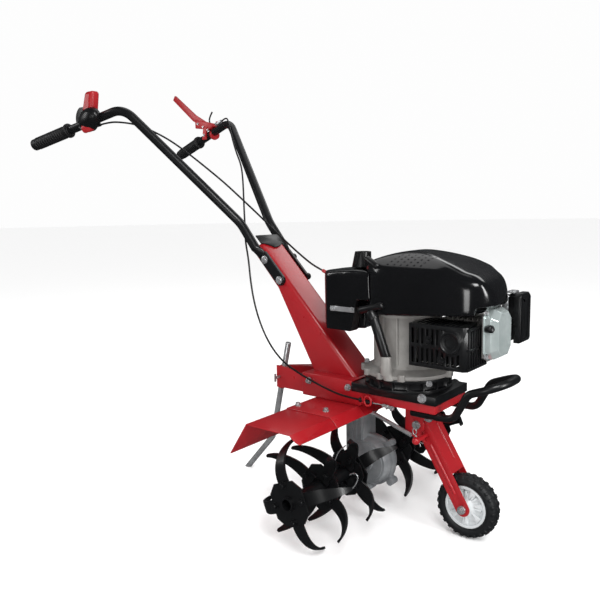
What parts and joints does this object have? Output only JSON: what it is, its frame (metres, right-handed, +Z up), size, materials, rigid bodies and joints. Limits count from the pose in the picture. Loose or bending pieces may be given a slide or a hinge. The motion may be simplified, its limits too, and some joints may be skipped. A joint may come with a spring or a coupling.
{
  "type": "front-tine tiller",
  "caption": "Small petrol front-tine tiller: engine over four sets of curved tines, folded guards, fold-up transport wheel, drag stake and long handlebars",
  "frame": {"origin": "on the ground under the middle of the overall length, on the machine's mid-plane", "axes": "+X forward to the transport wheel, +Y to the machine's left, +Z up"},
  "size_m": [1.4131, 0.672, 1.168],
  "materials": {
    "black_plastic": "moulded black plastic",
    "black_paint": "satin black paint on steel",
    "red_paint": "glossy red paint on sheet steel",
    "cable_black": "black cable sheath",
    "red_plastic": "red moulded plastic",
    "engine_case": "as-cast engine case",
    "zinc": "zinc-plated steel",
    "gloss_black": "glossy black moulded cover",
    "cast_grey": "as-cast aluminium",
    "grip_rubber": "black grip",
    "chrome_cover": "bright pressed cover",
    "white_plastic": "white moulded wheel",
    "tyre": "black rubber tyre"
  },
  "bodies": {
    "frame": {"air_filter": "black_plastic", "bumper": "black_paint", "cable_clip": "red_paint", "clutch_cable": "cable_black", "clutch_lever": "red_plastic", "cover_plate": "black_paint", "crankcase": "engine_case", "cylinder_block": "engine_case", "deck_frame": "red_paint", "dipstick": "black_plastic", "engine_flange": "black_paint", "engine_shroud": "gloss_black", "fuel_cap": "black_plastic", "fuel_tank": "black_plastic", "gearbox": "cast_grey", "gearbox_brace": "zinc", "handle_bolts": "zinc", "handle_column": "red_paint", "handle_crosspiece": "black_paint", "handle_knobs": "black_plastic", "left_grip": "grip_rubber", "left_handle": "black_paint", "left_inner_guard": "red_paint", "left_outer_guard": "red_paint", "muffler": "black_paint", "muffler_guard": "black_paint", "pivot_bolt": "zinc", "right_grip": "grip_rubber", "right_handle": "black_paint", "right_inner_guard": "red_paint", "right_outer_guard": "red_paint", "stake_bracket": "red_paint", "throttle_cable": "cable_black", "throttle_control": "black_plastic", "throttle_gland": "red_plastic", "valve_cover": "chrome_cover", "wheel_bracket": "red_paint"},
    "tine_rotor": {"tine_shaft": "zinc", "right_inner_tines": "black_paint", "right_outer_tines": "black_paint", "left_inner_tines": "black_paint", "left_outer_tines": "black_paint"},
    "wheel_arm": {"wheel_arm": "red_paint", "lock_pin": "red_paint", "wheel_bolt": "zinc"},
    "front_wheel": {"wheel_rim": "white_plastic", "wheel_tyre": "tyre"},
    "stake": {"drag_stake": "zinc"}
  },
  "joints": [
    {"name": "tine_spin", "type": "hinge", "parent": "frame", "child": "tine_rotor", "pos_m": [0.33055, 0, 0.127], "axis": [0, 1, 0], "continuous": true},
    {"name": "arm_swing", "type": "hinge", "parent": "frame", "child": "wheel_arm", "pos_m": [0.47955, 0, 0.254], "axis": [0, -1, 0], "range_deg": [0, 60]},
    {"name": "wheel_spin", "type": "hinge", "parent": "wheel_arm", "child": "front_wheel", "pos_m": [0.59555, 0, 0.075], "axis": [0, 1, 0], "continuous": true},
    {"name": "stake_slide", "type": "slide", "parent": "frame", "child": "stake", "axis": [0.2287, 0, 0.9735], "range_m": [0, 0.1]}
  ]
}
